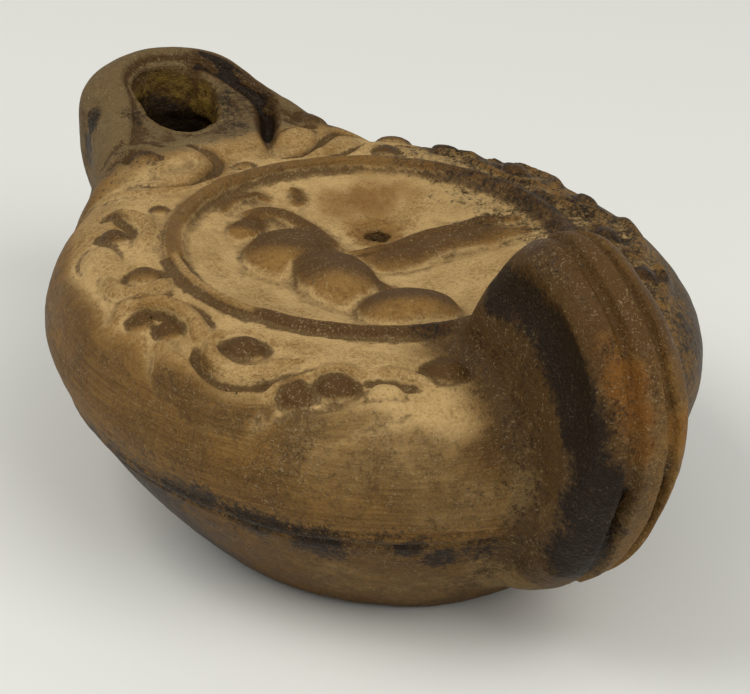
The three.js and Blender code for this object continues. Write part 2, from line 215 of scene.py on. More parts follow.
# Berries and leaves: [x, y, length, width, turn in degrees, height, depth of the ring round it, how brown].
berries = [
    [-17.8, 20.2, 2.7, 1.9, 60, 0.45, 0.5, 0.5], [-25.7, 16.3, 5.0, 3.0, 100, 0.8, 0.45, 0.8],
    [-29.6, 12.2, 8.6, 4.4, 78, 0.75, 0.15, -0.4], [-27.7, 4.7, 4.8, 4.1, 80, 1.0, 0.55, 0.4],
    [-32.2, -3.4, 3.6, 2.4, 100, 0.6, 0.3, 0.6], [-30.7, -7.3, 4.2, 2.5, 98, 0.75, 0.45, 0.8],
    [-26.0, -16.0, 5.2, 4.3, 105, 1.15, 0.55, 1.0], [-24.7, -25.2, 3.8, 2.8, 135, 0.7, 0.35, 0.9],
    [-20.9, -27.0, 4.6, 3.4, 145, 1.05, 0.5, 1.0], [-16.8, -30.3, 4.0, 3.0, 150, 0.75, 0.2, -0.2],
    [-9.4, -30.4, 4.8, 4.0, 165, 0.95, 0.45, 0.9], [-12.4, 34.9, 4.0, 3.2, 150, 0.8, 0.5, 0.5],
    [-2.2, 27.4, 2.8, 1.9, 20, 0.45, 0.45, 0.3], [15.9, 22.9, 4.2, 2.8, 45, 0.85, 0.5, 0.6],
    [8.0, 31.7, 6.6, 4.2, 20, 0.6, 0.2, -0.4], [12.9, 36.2, 5.0, 3.2, 110, 1.0, 0.3, 0.7],
    [20.6, 28.4, 5.2, 3.0, 150, 0.9, 0.3, 0.4], [25.0, 22.6, 4.6, 3.0, 130, 0.8, 0.4, 0.6],
    [27.9, 11.2, 4.8, 3.4, 95, 0.95, 0.5, 0.8], [31.0, 15.6, 4.2, 2.6, 110, 0.75, 0.3, 0.5],
    [31.4, 0.4, 4.6, 2.6, 85, 0.8, 0.3, 0.2], [26.2, -10.9, 4.9, 3.6, 80, 1.05, 0.5, 0.6],
    [24.7, -20.6, 4.4, 3.6, 50, 0.95, 0.45, 0.9], [17.2, -27.6, 4.2, 3.6, 20, 0.9, 0.4, 0.7],
]
# Ridges, and grooves with a height below 0: [points along the line, width, height].
strokes = [
    # the vine on the left side, from the nozzle round to the handle
    [[(-24.2, 23.6), (-22.4, 21.2), (-21.3, 18.6), (-21.5, 15.6), (-23.2, 13.0), (-25.4, 11.4)], 2.8, 0.75],
    [[(-24.6, 23.2), (-23.3, 21.6), (-23.2, 18.6), (-23.4, 15.2)], 1.5, -0.55],
    [[(-30.6, 8.8), (-31.4, 5.6), (-30.9, 2.6), (-29.2, 1.2), (-27.2, 1.5), (-25.4, 2.8)], 2.3, 0.75],
    [[(-32.4, 2.2), (-30.6, -0.2), (-28.2, -0.6), (-26.2, -0.2)], 1.2, -0.4],
    [[(-34.2, -0.6), (-32.4, 0.2), (-30.1, -0.9), (-28.4, -3.6), (-27.9, -6.8), (-28.4, -9.8),
      (-29.6, -11.2)], 2.9, 0.95],
    [[(-33.4, -1.9), (-31.3, -1.9), (-29.8, -4.2), (-29.4, -7.0)], 1.2, -0.6],
    [[(-26.2, -3.0), (-25.9, -6.4), (-26.6, -10.0)], 1.3, -0.4],
    [[(-32.6, -8.6), (-33.2, -12.4), (-32.5, -16.2), (-31.2, -19.2), (-29.4, -21.6),
      (-27.2, -23.4)], 4.0, 0.9],
    [[(-29.6, -10.9), (-30.6, -13.4), (-31.0, -16.6), (-30.2, -19.4), (-28.2, -21.4),
      (-25.0, -22.6)], 1.5, -0.65],
    [[(-28.0, -12.4), (-29.2, -14.6), (-29.0, -17.6), (-27.4, -19.8), (-24.8, -20.8),
      (-22.2, -20.9)], 2.6, 0.85],
    [[(-28.4, -10.0), (-28.0, -11.6), (-26.0, -11.5)], 1.6, 0.55],
    [[(-26.6, -22.0), (-23.6, -22.9), (-20.8, -23.4)], 1.1, -0.35],
    [[(-27.8, -24.4), (-25.8, -22.9), (-22.6, -23.9), (-19.4, -24.6), (-17.8, -26.8)], 2.4, 0.55],
    [[(-28.2, -26.0), (-25.6, -28.4), (-22.2, -30.2), (-18.6, -31.6), (-15.2, -33.0)], 2.2, 0.6],
    [[(-18.4, -27.2), (-16.2, -28.7), (-14.8, -30.0), (-13.2, -31.6)], 1.2, -0.55],
    [[(-15.6, -27.0), (-13.6, -29.0), (-12.0, -31.6)], 2.0, 0.5],
    # the swirls where the nozzle grows out of the shoulder
    [[(-16.6, 37.4), (-12.6, 38.4), (-9.6, 37.0)], 1.6, 0.5],
    [[(-15.6, 28.8), (-13.8, 26.2), (-10.9, 25.2), (-7.2, 26.8), (-4.7, 29.4), (-4.3, 32.2),
      (-5.8, 35.4)], 2.0, -0.7],
    [[(-11.0, 32.6), (-12.2, 29.6), (-10.4, 27.4), (-7.6, 28.6), (-6.4, 31.4), (-8.0, 34.0)], 2.2, 0.45],
    [[(-17.6, 27.4), (-14.6, 24.6), (-11.0, 23.9), (-6.6, 24.7), (-3.4, 26.0)], 1.8, 0.45],
    [[(-21.4, 30.4), (-18.6, 27.4), (-16.6, 24.6)], 2.0, 0.5],
    [[(3.2, 27.6), (6.8, 27.6), (9.4, 29.2), (11.6, 31.2), (14.4, 32.8), (17.4, 32.2)], 1.3, -0.8],
    [[(6.4, 26.2), (10.2, 26.7), (13.0, 28.0), (15.6, 30.2)], 2.2, 0.6],
    [[(7.2, 25.1), (10.8, 25.2), (14.2, 26.6), (17.6, 28.8)], 1.1, -0.5],
    [[(10.0, 38.6), (10.2, 35.6), (12.2, 33.9)], 1.2, -0.5],
    # the vine on the right side
    [[(12.0, 24.6), (15.2, 25.4), (17.4, 24.2), (18.4, 21.4), (17.4, 19.6)], 1.3, 0.5],
    [[(17.4, 26.4), (19.6, 25.4), (21.4, 22.8), (22.4, 19.4)], 1.6, -0.5],
    [[(20.6, 24.6), (22.2, 21.2), (24.6, 18.8), (27.6, 18.0)], 2.0, 0.6],
    [[(23.6, 17.2), (24.4, 13.6), (24.7, 9.6), (26.0, 6.6), (28.6, 5.4)], 1.7, 0.65],
    [[(28.6, 19.6), (30.2, 17.4), (30.4, 14.0), (31.8, 10.6), (31.2, 6.8), (28.8, 4.6)], 2.0, 0.7],
    [[(25.9, 5.0), (25.8, 1.6), (26.8, -2.2), (28.8, -4.4), (31.0, -5.6)], 2.4, 0.75],
    [[(27.0, 3.0), (28.2, 0.4), (29.2, -2.6)], 1.3, -0.5],
    [[(32.6, -4.2), (31.8, -8.2), (30.0, -12.4), (27.0, -15.4), (24.4, -15.2)], 2.4, 0.8],
    [[(24.3, -6.6), (23.7, -10.4), (24.0, -14.0)], 1.6, 0.5],
    [[(29.4, -16.6), (27.6, -20.6), (24.8, -24.2), (21.4, -26.6)], 2.2, 0.7],
    [[(21.6, -18.2), (21.2, -21.6), (19.6, -24.6)], 1.8, 0.6],
]
# The worn figure in the dish, steep on its far side: [x, y, length, width, turn in degrees, height].
figure = [
    [-8.1, 5.4, 14.6, 11.4, 40, 2.3], [-6.6, -3.4, 16.6, 10.4, 75, 2.9], [-4.4, -15.2, 12.6, 12.4, 80, 2.8],
    [-9.6, 13.4, 6.6, 4.4, 30, 0.9],
]
figureRidges = [                                   # [points along the ridge, width, height]
    [[(-9.4, 14.0), (-6.3, 16.0), (-3.6, 15.0), (-2.3, 11.6), (-2.0, 7.6), (-2.2, 3.4)], 3.8, 1.35],
    [[(-11.4, 17.6), (-8.4, 19.8), (-5.0, 20.4), (-3.0, 18.9)], 2.4, 0.7],
    [[(0.8, 20.9), (0.8, 18.6), (-0.8, 17.0)], 1.8, 0.55],
    [[(-1.9, 4.8), (1.7, 2.9), (4.2, 2.4), (7.2, 3.0), (10.1, 3.1), (13.9, 2.1), (17, 1.8),
      (20.6, 0.2)], 3.2, 1.5],
    [[(-1.6, 3.0), (2.0, 1.1), (5.0, 0.3), (8.0, 0.6), (11.4, 0.3), (15.4, -0.8), (19.4, -2.8)], 7.0, 1.25],
    [[(-3.4, -3.0), (-2.2, -6.0), (-2.2, -9.4)], 2.8, 1.0],
]
volute = {
    "line": [(4.0, 54.3), (6.6, 50.9), (8.2, 47.6), (9.1, 44.6), (9.0, 42.0), (6.8, 37.4), (4.6, 33.4),
             (2.9, 29.2)],
    "width": 2.8, "depth": 2.3,
}
rimBreak = {"fromAngle": 163, "toAngle": 208, "ridgeRadius": 23.7, "ridgeWidth": 0.9, "ridgeHeight": 0.9}
carving = {                                        # how far the relief rises, and how soft it is in mm
    "strokes": 1.35, "rings": 1.2, "figure": 1.15, "softened": 0.22, "tintSoftened": 0.25, "step": 0.15,
}


# Places seen along and across a line through (atX, atY) that is turned from +X.
def turned(u, v, atX, atY, degrees):
    cos, sin = math.cos(math.radians(degrees)), math.sin(math.radians(degrees))
    return (u - atX) * cos + (v - atY) * sin, (v - atY) * cos - (u - atX) * sin


def ovalReach(u, v, motif):
    along, across = turned(u, v, motif[0], motif[1], motif[4])
    return np.hypot(along / (motif[2] / 2), across / (motif[3] / 2))


# How far towards the handle's left a place lies within a motif: below 0 on the motif's far side.
def nearness(u, v, motif):
    return ((motif[0] - u) * 0.5 + (motif[1] - v) * 0.86) / motif[2]


# Distance outside the edge of the wick hole: below 0 within it.
def wickReach(x, y):
    along, across = turned(x, y, wickHole["x"], wickHole["y"], 90 + wickHole["turn"])
    share = np.hypot(along / wickHole["halfLong"], across / wickHole["halfWide"])
    return (share - 1) * wickHole["halfWide"]


# A ridge or groove that tapers to both ends.
def strokeHeight(u, v, points, width, height, taper=0.18):
    reach, along = lineReach(u, v, smoothLine(points))
    ends = smoothStep(0, taper, along) * smoothStep(1, 1 - taper, along)
    return height * (0.35 + 0.65 * ends) * dome(reach / (width / 2 * (0.5 + 0.5 * ends)), 1.0)


# The relief as heights, with how brown its high places are and how dark its grooves. The brown also holds
# painted shade on the rim's near side and a painted shadow beside its broken piece; the dark is dirt and
# soot in the grooves, and painted shade there.
def makeTopRelief():
    chart, brown, dark = (Chart(-42, 42, -42, 64, carving["step"]) for _ in range(3))
    x, y = chart.u, chart.v
    radius = np.hypot(x - rim["x"], y - rim["y"])
    shoulder = np.zeros(x.shape)
    grooves = np.zeros(x.shape)
    for points, width, height in strokes:
        made = strokeHeight(x, y, points, width, carving["strokes"] * height)
        shoulder = np.maximum(shoulder, made)
        grooves = np.minimum(grooves, made)
    brown.value -= 0.5 * np.clip(shoulder, 0, 1)
    for motif in berries:
        reach = ovalReach(x, y, motif)
        near = nearness(x, y, motif)
        farRing = smoothStep(0.35, -0.2, near)
        grooves = np.minimum(grooves, -carving["rings"] * motif[6] * dome((reach - 1.1) / 0.3) * farRing)
        raised = motif[5] * dome(reach, mix(0.5, 1.1, smoothStep(-0.3, 0.5, near)))
        covered = np.maximum(shoulder * smoothStep(0.8, 1, reach), raised)
        shoulder = np.where(reach < 1, covered, shoulder)
        shade = motif[7] * mix(1.5, 0.35, smoothStep(0.0, 0.45, near))
        brown.value = np.where(reach < 1.05, mix(brown.value, shade, dome(reach / 1.05, 0.5)), brown.value)
    relief = shoulder + grooves
    # the dish with its figure
    dish = mix(discus["floorDepth"], discus["edgeDepth"], np.clip(radius / rim["inner"], 0, 1) ** 2.4)
    lumpy = np.zeros(x.shape)
    for motif in figure:
        reach = ovalReach(x, y, motif)
        near = nearness(x, y, motif)
        softness = mix(0.4, 1.5, smoothStep(-0.35, 0.5, near))
        lumpy = smoothMax(lumpy, carving["figure"] * motif[5] * dome(reach, softness), 0.15)
        brown.value = np.maximum(brown.value, 0.9 * dome(reach, 0.3) * smoothStep(0.35, -0.2, near))
    for points, width, height in figureRidges:
        made = strokeHeight(x, y, points, width, height)
        brown.value = np.maximum(brown.value, 0.6 * made / height)
        lumpy = np.maximum(lumpy, made)
    inDish = lumpy * smoothStep(rim["inner"] - 0.4, rim["inner"] - 2.4, radius) - dish
    # the rim, with a piece of it broken away
    angle = np.degrees(np.arctan2(y - rim["y"], x - rim["x"])) % 360
    broken = smoothStep(rimBreak["fromAngle"], rimBreak["fromAngle"] + 2, angle)
    broken *= smoothStep(rimBreak["toAngle"], rimBreak["toAngle"] - 6, angle)
    bead = rim["height"] * dome((radius - rim["crest"]) / np.where(radius < rim["crest"], 1.3, 1.2), 0.6)
    ridge = rimBreak["ridgeHeight"] * dome((radius - rimBreak["ridgeRadius"]) / rimBreak["ridgeWidth"], 0.7)
    crack = dome((radius - rimBreak["ridgeRadius"] + 1.1 + 0.2 * lumps(x, y, 0 * x, 2, 24)) / 0.5, 1)
    edge = mix(bead, ridge - 0.4 * crack, broken)
    inside = smoothStep(rim["inner"] + 0.1, rim["inner"] - 0.7, radius)
    outside = smoothStep(rim["outer"] - 0.4, rim["outer"] + 0.6, radius)
    relief = relief * outside + edge * (1 - inside) + inDish * inside
    # the rim is worn brown; on its near side the brown is darker and reaches over its outer wall as painted
    # shade
    nearSideShade = smoothStep(195, 215, angle) * smoothStep(345, 325, angle)
    brownFrom = rim["inner"] - 0.7 + 1.5 * nearSideShade
    brownFrom += 0.8 * smoothStep(120, 150, angle) * smoothStep(215, 195, angle)
    onRim = smoothStep(brownFrom - 0.3, brownFrom + 0.3, radius)
    onRim *= smoothStep(0.3, -0.3, radius - rim["outer"] - 0.5 * nearSideShade)
    brown.value = np.maximum(brown.value, (0.4 + 0.6 * nearSideShade) * onRim * (1 - broken))
    # a painted shadow, as brown, just outside the ridge left where the rim broke
    chipShadow = dome((radius - rimBreak["ridgeRadius"] - 1.3) / 0.7, 0.5)
    brown.value = np.maximum(brown.value, broken * chipShadow)
    # the volute beside the wick hole, blackened with soot and painted shadow
    curl = strokeHeight(x, y, volute["line"], volute["width"], -volute["depth"], 0.3)
    curlReach, along = lineReach(x, y, smoothLine(volute["line"]))
    sootAndShadow = smoothStep(1.7, 0.9, curlReach) * smoothStep(0, 0.06, along) * smoothStep(0.95, 0.7, along)
    chart.value = relief + curl
    # grooves and cracks darker, the volute blackest: dirt and soot, and painted shade
    dark.value = np.clip(-grooves * outside * 1.4, 0, 1) + broken * crack + 3 * sootAndShadow
    tint = carving["tintSoftened"]
    return chart.soften(carving["softened"]), brown.soften(tint), dark.soften(tint)


topRelief, topBrown, topDark = makeTopRelief()
print("top relief made")


def bodyAndNozzle(x, y, z):
    slump = body["slump"] * x / body["halfWidth"] * smoothStep(25, 31, z)
    joined = smoothMin(plainBody(x, y, z) + slump, nozzleField(x, y, z), nozzle["blend"])
    return joined - topRelief.read(x, y) * smoothStep(18, 27, z)


handle = {
    "leanX": 1.2, "topHalf": 5.0, "lowHalf": 6.6, "grooveDepth": 1.1, "grooveAt": 0.36, "grooveWidth": 0.15,
    "slotDepth": 2.2, "hollowDepth": 0.7, "edgeRound": 3.6, "blend": 2.6,
    "streak": [                                    # (y, z) down the left flank
        (-31, 43), (-36, 43.4), (-40.5, 42.4), (-44.6, 39.4), (-48, 35.8), (-50.3, 31.4), (-51, 26.5),
        (-49.6, 21), (-46.8, 16.5),
    ],
    "outline": [                                   # (y, z) from the front foot over the top to the root
        (-22.5, 30), (-24.6, 35.6), (-27.4, 41.4), (-32.2, 47.2), (-38.5, 49.9), (-45.2, 47.6), (-50.6, 43),
        (-53.8, 35.5), (-53.9, 28.5), (-51.9, 22), (-48.3, 15.1), (-43.4, 10.1), (-36, 5.6), (-28, 6),
        (-24, 18),
    ],
}


# Signed distance to the handle's side outline: below 0 inside.
def makeHandleProfile():
    chart = Chart(-62, -12, -2, 58, 0.25)
    line = smoothLine(handle["outline"], 8, closed=True)
    line = np.vstack([line, line[:1]])
    reach = lineReach(chart.u, chart.v, line)[0]
    inside = np.zeros(chart.u.shape, bool)
    for a, b in zip(line[:-1], line[1:]):
        crosses = (a[1] > chart.v) != (b[1] > chart.v)
        with np.errstate(divide="ignore", invalid="ignore"):
            inside ^= crosses & (chart.u < a[0] + (chart.v - a[1]) / (b[1] - a[1]) * (b[0] - a[0]))
    chart.value = np.where(inside, -reach, reach)
    return chart


handleProfile = makeHandleProfile()
streakReach = Chart(-62, -12, -2, 58, 0.25)
streakReach.value = lineReach(streakReach.u, streakReach.v, smoothLine(handle["streak"]))[0]


def handleField(x, y, z):
    profile = handleProfile.read(y, z)
    half = mix(handle["lowHalf"], handle["topHalf"], smoothStep(30, 48, z))
    across = abs(x - handle["leanX"]) / half
    ribbed = smoothStep(-29, -34, y)
    slot = handle["slotDepth"] * smoothStep(-48, -51, y) * smoothStep(28, 24.5, z) * smoothStep(14, 18, z)
    grooveAt = mix(0.13, handle["grooveAt"], smoothStep(-30, -44, y) * smoothStep(6, 22, z))
    groove = (handle["grooveDepth"] * ribbed + slot) * dome((across - grooveAt) / handle["grooveWidth"], 1)
    hollow = handle["hollowDepth"] * dome(streakReach.read(y, z) / 3.6, 1) * smoothStep(0.5, 0.9, across)
    side = np.clip((profile + groove) / handle["edgeRound"] + 1, 0, None)
    rounded = (np.hypot(side, across) - 1) * mix(half, handle["edgeRound"], np.clip(side, 0, 1))
    return rounded + hollow


# The chamber with its channel, the wick hole and the filling hole.
def hollowField(x, y, z):
    radius = np.hypot(x, y)
    dip = cavity["underDiscus"] * smoothStep(26, 14, radius)
    chamber = smoothMax(plainBody(x, y, z) + cavity["wall"], z - cavity["ceilingZ"] + dip, 3)
    chamber = smoothMax(chamber, cavity["floorZ"] - z, 2)
    fromAxis = x - wickHole["x"] * np.clip(y / wickHole["y"], 0, 1)
    side = np.hypot(fromAxis, np.clip(y - wickHole["y"], 0, None))
    middleZ = (cavity["channelFloorZ"] + cavity["channelTopZ"]) / 2
    halfHeight = (cavity["channelTopZ"] - cavity["channelFloorZ"]) / 2
    channel = smoothMax(side - cavity["channelRadius"], abs(z - middleZ) - halfHeight, 1.5)
    channel = np.maximum(channel, cavity["channelStartY"] - y)
    hollow = smoothMin(chamber, channel, 1.5)
    turn = np.arctan2(y - wickHole["y"], x - wickHole["x"])
    broad, small, rough = wickHole["wobble"]
    wobble = broad * np.sin(3 * turn + 0.6) + small * np.sin(7 * turn + 2)
    wobble += rough * lumps(x, y, z, 1.6, 5)
    narrowing = wickHole["narrowing"] * np.clip(35 - z, 0, 6)
    wick = np.maximum(wickReach(x, y) + narrowing - wobble, wickHole["floorZ"] - z)
    filling = np.hypot(x - fillingHole["x"], y - fillingHole["y"]) - fillingHole["radius"]
    filling = np.maximum(filling - fillingHole["ragged"] * lumps(x, y, z, 1.1, 6), 20 - z)
    return hollow, wick, filling


def lampField(x, y, z):
    outside = smoothMin(bodyAndNozzle(x, y, z), handleField(x, y, z), handle["blend"])
    outside = smoothMax(outside, -z, 1.0)
    hollow, wick, filling = hollowField(x, y, z)
    clay = np.maximum(outside, -hollow)
    clay = smoothMax(clay, -wick, wickHole["edge"])
    return smoothMax(clay, -filling, fillingHole["edge"])


surface = {"cell": 0.45, "faces": 194000}


# One vertex in each cell that the surface crosses, joined to its neighbours by quads.
def surfaceNet(field, low, high, cell):
    axes = [np.arange(a, b + cell, cell) for a, b in zip(low, high)]
    x, y, _ = np.meshgrid(*axes, indexing="ij", sparse=True)
    flatX, flatY = x + 0 * y, y + 0 * x
    value = np.stack([field(flatX, flatY, level + 0 * flatX)[:, :, 0] for level in axes[2]], 2)
    inside = value < 0
    corners = [(i, j, k) for i in (0, 1) for j in (0, 1) for k in (0, 1)]
    size = [n - 1 for n in value.shape]
    part = lambda a, c: a[c[0]:c[0] + size[0], c[1]:c[1] + size[1], c[2]:c[2] + size[2]]
    count = sum(part(inside, c).astype(np.int8) for c in corners)
    cells = np.argwhere((count > 0) & (count < 8))
    at = {c: value[tuple((cells + c).T)] for c in corners}
    total = np.zeros((len(cells), 3))
    hits = np.zeros(len(cells))
    for a in corners:
        for axis in (0, 1, 2):
            if a[axis]:
                continue
            b = tuple(1 if i == axis else a[i] for i in (0, 1, 2))
            cross = (at[a] < 0) != (at[b] < 0)
            t = np.where(cross, at[a] / np.where(cross, at[a] - at[b], 1), 0)
            place = np.array(a) + t[:, None] * (np.array(b) - a)
            total += np.where(cross[:, None], place, 0)
            hits += cross
    points = np.array(low) + cell * (cells + total / hits[:, None])
    index = np.full(size, -1, np.int32)
    index[tuple(cells.T)] = np.arange(len(cells))
    quads = []
    for axis, (u, v) in enumerate(((1, 2), (2, 0), (0, 1))):
        ahead = np.take(inside, range(1, inside.shape[axis]), axis)
        behind = np.take(inside, range(0, inside.shape[axis] - 1), axis)
        for here, order in ((behind & ~ahead, 1), (ahead & ~behind, -1)):
            edge = np.argwhere(here)
            ring = []
            for du, dv in ((1, 1), (0, 1), (0, 0), (1, 0)):
                step = np.zeros(3, int)
                step[u], step[v] = du, dv
                ring.append(index[tuple((edge - step).T)])
            quads.append(np.stack(ring[::order], 1))
    return points, np.vstack(quads)


# Vertices pulled onto the surface itself.
def settle(field, points, rounds=3):
    h = 0.04
    for _ in range(rounds):
        slope = slopeOf(field, points, h)
        value = field(*points.T)
        step = value[:, None] * slope / np.maximum((slope ** 2).sum(1), 0.05)[:, None]
        points = points - np.clip(step, -0.3, 0.3)
    return points


def slopeOf(field, points, h):
    slope = np.empty_like(points)
    for axis in (0, 1, 2):
        ahead, behind = points.copy(), points.copy()
        ahead[:, axis] += h
        behind[:, axis] -= h
        slope[:, axis] = (field(*ahead.T) - field(*behind.T)) / (2 * h)
    return slope


def makeMesh(name, points, faces):
    mesh = bpy.data.meshes.new(name)
    mesh.vertices.add(len(points))
    mesh.vertices.foreach_set("co", (points * mm).astype(np.float32).ravel())
    mesh.loops.add(faces.size)
    mesh.loops.foreach_set("vertex_index", faces.astype(np.int32).ravel())
    mesh.polygons.add(len(faces))
    mesh.polygons.foreach_set("loop_start", np.arange(0, faces.size, faces.shape[1], dtype=np.int32))
    mesh.polygons.foreach_set("use_smooth", np.ones(len(faces), bool))
    mesh.update()
    mesh.validate()
    return mesh


# Fewer faces where the surface is plain.
def thinOut(piece, faces):
    modifier = piece.modifiers.new("thin out", "DECIMATE")
    piece.data.calc_loop_triangles()
    modifier.ratio = min(1, faces / len(piece.data.loop_triangles))
    modifier.use_collapse_triangulate = True
    done = bpy.data.meshes.new_from_object(piece.evaluated_get(bpy.context.evaluated_depsgraph_get()))
    piece.modifiers.clear()
    piece.data = done


def meshPoints(mesh):
    points = np.empty(len(mesh.vertices) * 3, np.float32)
    mesh.vertices.foreach_get("co", points)
    return points.reshape(-1, 3).astype(float) / mm


wear = {
    "seamZ": 16.7, "seamWidth": 0.7, "seamHeight": 0.22, "seamGroove": 1.4,
    "baseRingRadius": 19, "baseRingDepth": 0.35, "inside": 0.6,
    "uneven": [(0.10, 7, 11), (0.05, 2.6, 12), (0.03, 1.1, 13)],     # height, size and seed
}


# How far the worn, hand-finished surface stands off the smooth one.
def wornHeight(x, y, z, outer):
    height = sum(amount * lumps(x, y, z, cell, seed) for amount, cell, seed in wear["uneven"])
    onWall = smoothStep(1.2, 0.4, abs(bodyAndNozzle(x, y, z))) * smoothStep(3, 6, z)
    wander = z - wear["seamZ"] - 0.35 * lumps(x, y, 0 * z, 9, 14)
    ridge = dome(wander / wear["seamWidth"], 1) - wear["seamGroove"] * dome((wander + 0.9) / 0.5, 1)
    height += wear["seamHeight"] * onWall * ridge
    ring = np.hypot(x, (y + body["baseSlip"]) / body["lengthRatio"]) - wear["baseRingRadius"]
    height -= wear["baseRingDepth"] * dome(ring / 1.2, 1) * smoothStep(0.8, 0.2, z)
    inHole = smoothStep(1.8, 0.6, abs(wickReach(x, y) + 0.6))
    inHole *= smoothStep(37, 35.5, z) * smoothStep(20, 24, z)
    height += inHole * (0.22 * lumps(x, y, z, 1.3, 15) + 0.3 * lumps(x, y, z, 2.2, 16))
    return np.where(outer, height, wear["inside"] * height)


def makeLamp():
    box = [np.array(corner) / mm for corner in cadBox]
    points, quads = surfaceNet(lampField, box[0] - 1.5, box[1] + 1.5, surface["cell"])
    points = settle(lampField, points)
    slope = slopeOf(lampField, points, 0.15)
    normal = slope / np.maximum(np.linalg.norm(slope, axis=1), 1e-6)[:, None]
    hollow = hollowField(*points.T)[0]
    points = points + normal * wornHeight(*points.T, hollow > 0.5)[:, None]
    points[:, 2] = np.maximum(points[:, 2], 0)
    piece = bpy.data.objects.new("oil_lamp", makeMesh("oil_lamp", points, quads))
    bpy.context.scene.collection.objects.link(piece)
    thinOut(piece, surface["faces"])
    return piece


lamp = makeLamp()
print("lamp shaped:", len(lamp.data.polygons), "faces")
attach(lamp, "root")
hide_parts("lamp")


# Patches: [x, y, z, reach in mm, amount].
sootPatches = [
    [-13, 35, 33, 4.5, 0.5], [-17.5, 31, 31, 5, 0.45], [-6, 27.5, 33.5, 4, 0.35],
    [-20.5, 27, 30, 4, 0.35], [-9.5, 39, 34, 4, 0.4], [-15, 30, 26, 7, 0.35], [0, 36, 34, 5, 0.3],
    [-12.6, 48.4, 33.6, 2.4, 0.9], [-13.6, 48.0, 29.6, 3.2, 0.9], [-13.2, 44, 26, 3, 0.5],
    [-13.6, 40, 24, 5, 0.45], [9.0, 43.1, 32.6, 3, 0.5], [3.7, 31.2, 32.5, 3, 0.35], [6, 58, 33, 6, 0.5],
    [-17, 36, 30, 5, 0.4], [-16.3, -34.8, 15.8, 2.6, 0.9], [-12.7, -35.7, 13.6, 3.0, 0.9],
    [-9, -37.9, 14.6, 3.2, 0.8], [4, 44, 35.5, 6.5, 0.58], [-8, 44, 35.5, 4, 0.5], [2, 38, 34, 5, 0.5],
    [-30.2, -22.3, 15, 4, 0.8], [-25, -30, 14.6, 4.5, 0.9], [-6, -22, 34, 3.4, 0.7],
    [-5.5, -25.5, 37, 3, 0.5],
]
orangePatches = [
    [-2.4, -49.3, 42.6, 3.6, 0.8], [-2.0, -51.6, 39.5, 4.2, 1.1], [-1.9, -52.9, 36, 4, 1.1],
    [-1.4, -53.6, 32.4, 3.6, 0.9], [4.8, 15.6, 31, 5, 0.7], [9, 15, 31, 5.5, 0.8], [13, 14.6, 31, 4, 0.6],
    [2.5, -51, 40, 4, 0.5], [4.8, -53, 33, 3.4, 0.7], [-7, -44, 22, 6, 0.35], [-36, 0, 18, 9, 0.35],
]
palePatches = [
    [-19, -27.2, 7.6, 7, 0.7], [-11.8, -30.5, 5.9, 8, 0.8], [-5.4, -36.8, 8.7, 7, 0.8],
    [-23.7, -30.3, 28.4, 8, 0.4], [-15.5, -35, 29.7, 8, 0.55], [-30, -20, 29, 6, 0.4],
    [-5.2, -31.5, 36.7, 4, 0.35], [-6.0, -37.4, 33.5, 4, 0.4], [-6.2, -42.1, 28.6, 4, 0.45],
    [-5.4, -44.6, 21.1, 4, 0.35], [-12, -36, 22, 8, 0.35], [20, 24, 31, 9, 0.4],
    [-29, 10.5, 31.5, 6, 0.4], [-13, 46, 29, 7, 0.5], [-13, 37, 24, 6, 0.35], [-4, 60, 33, 6, 0.3],
]


def patches(points, spots):
    total = np.zeros(len(points))
    for x, y, z, reach, amount in spots:
        away = np.linalg.norm(points - (x, y, z), axis=1)
        total = np.maximum(total, amount * smoothStep(1.25, 0.35, away / reach))
    return total


# Each point's mean of its neighbours, some rounds over, less the point itself: above 0 in a hollow.
def hollowness(points, normals, edges, rounds):
    near = np.bincount(edges.ravel(), minlength=len(points))
    mean = points
    for _ in range(rounds):
        total = np.empty_like(points)
        for axis in (0, 1, 2):
            ahead = np.bincount(edges[:, 0], mean[edges[:, 1], axis], len(points))
            total[:, axis] = ahead + np.bincount(edges[:, 1], mean[edges[:, 0], axis], len(points))
        mean = 0.4 * mean + 0.6 * total / near[:, None]
    return ((mean - points) * normals).sum(1)


patina = {                                         # amounts, most of them from 0 to 1
    "earthAll": 0.18, "earthOnBand": 0.62, "earthInHollows": 0.9, "earthByRim": 0.5, "earthOnFront": 0.28,
    "earthOnNozzle": 0.35, "earthOffBrown": 0.75, "earthOffShadedGrooves": 0.6, "earthOffHandle": 0.4,
    "earthOffShadedRight": 0.3, "earthOffDish": 0.42,
    "bandEdge": (36.8, 33.6), "bandOnRight": 0.6, "bandOnNozzle": 0.4,
    "greyNozzle": 0.95, "greyAndShadeRight": 0.9, "greyHandle": 0.85, "greyPlateau": 0.4,
    "sootSeamLeft": 0.85, "sootSeamFront": 0.45, "sootAndShadeRight": 0.6, "sootByHandle": 0.32,
    "sootLowWall": 0.85, "sootStreak": 1.15, "streakEdge": (5.2, 0.4), "streakRib": 1.9, "sootAndShadowInGrooves": 1.1,
    "brownRelief": 1.3, "brownWall": 0.3, "brownLow": 0.15, "brownHigh": 0.3, "brownNozzle": 0.5,
    "brownGrooves": 0.85, "brownHandleTop": 0.5, "brownAndShadeInHollows": 0.45, "brownByStreak": 0.75,
    "brownBack": 0.3, "brownRoot": 0.4, "brownFilling": 0.5, "orangeOverBrown": 0.75,
}


# Directions and neighbours of a mesh's vertices.
def meshFacts(mesh):
    normals = np.empty(len(mesh.vertices) * 3, np.float32)
    mesh.vertices.foreach_get("normal", normals)
    edges = np.empty(len(mesh.edges) * 2, np.int32)
    mesh.edges.foreach_get("vertices", edges)
    return normals.reshape(-1, 3).astype(float), edges.reshape(-1, 2)


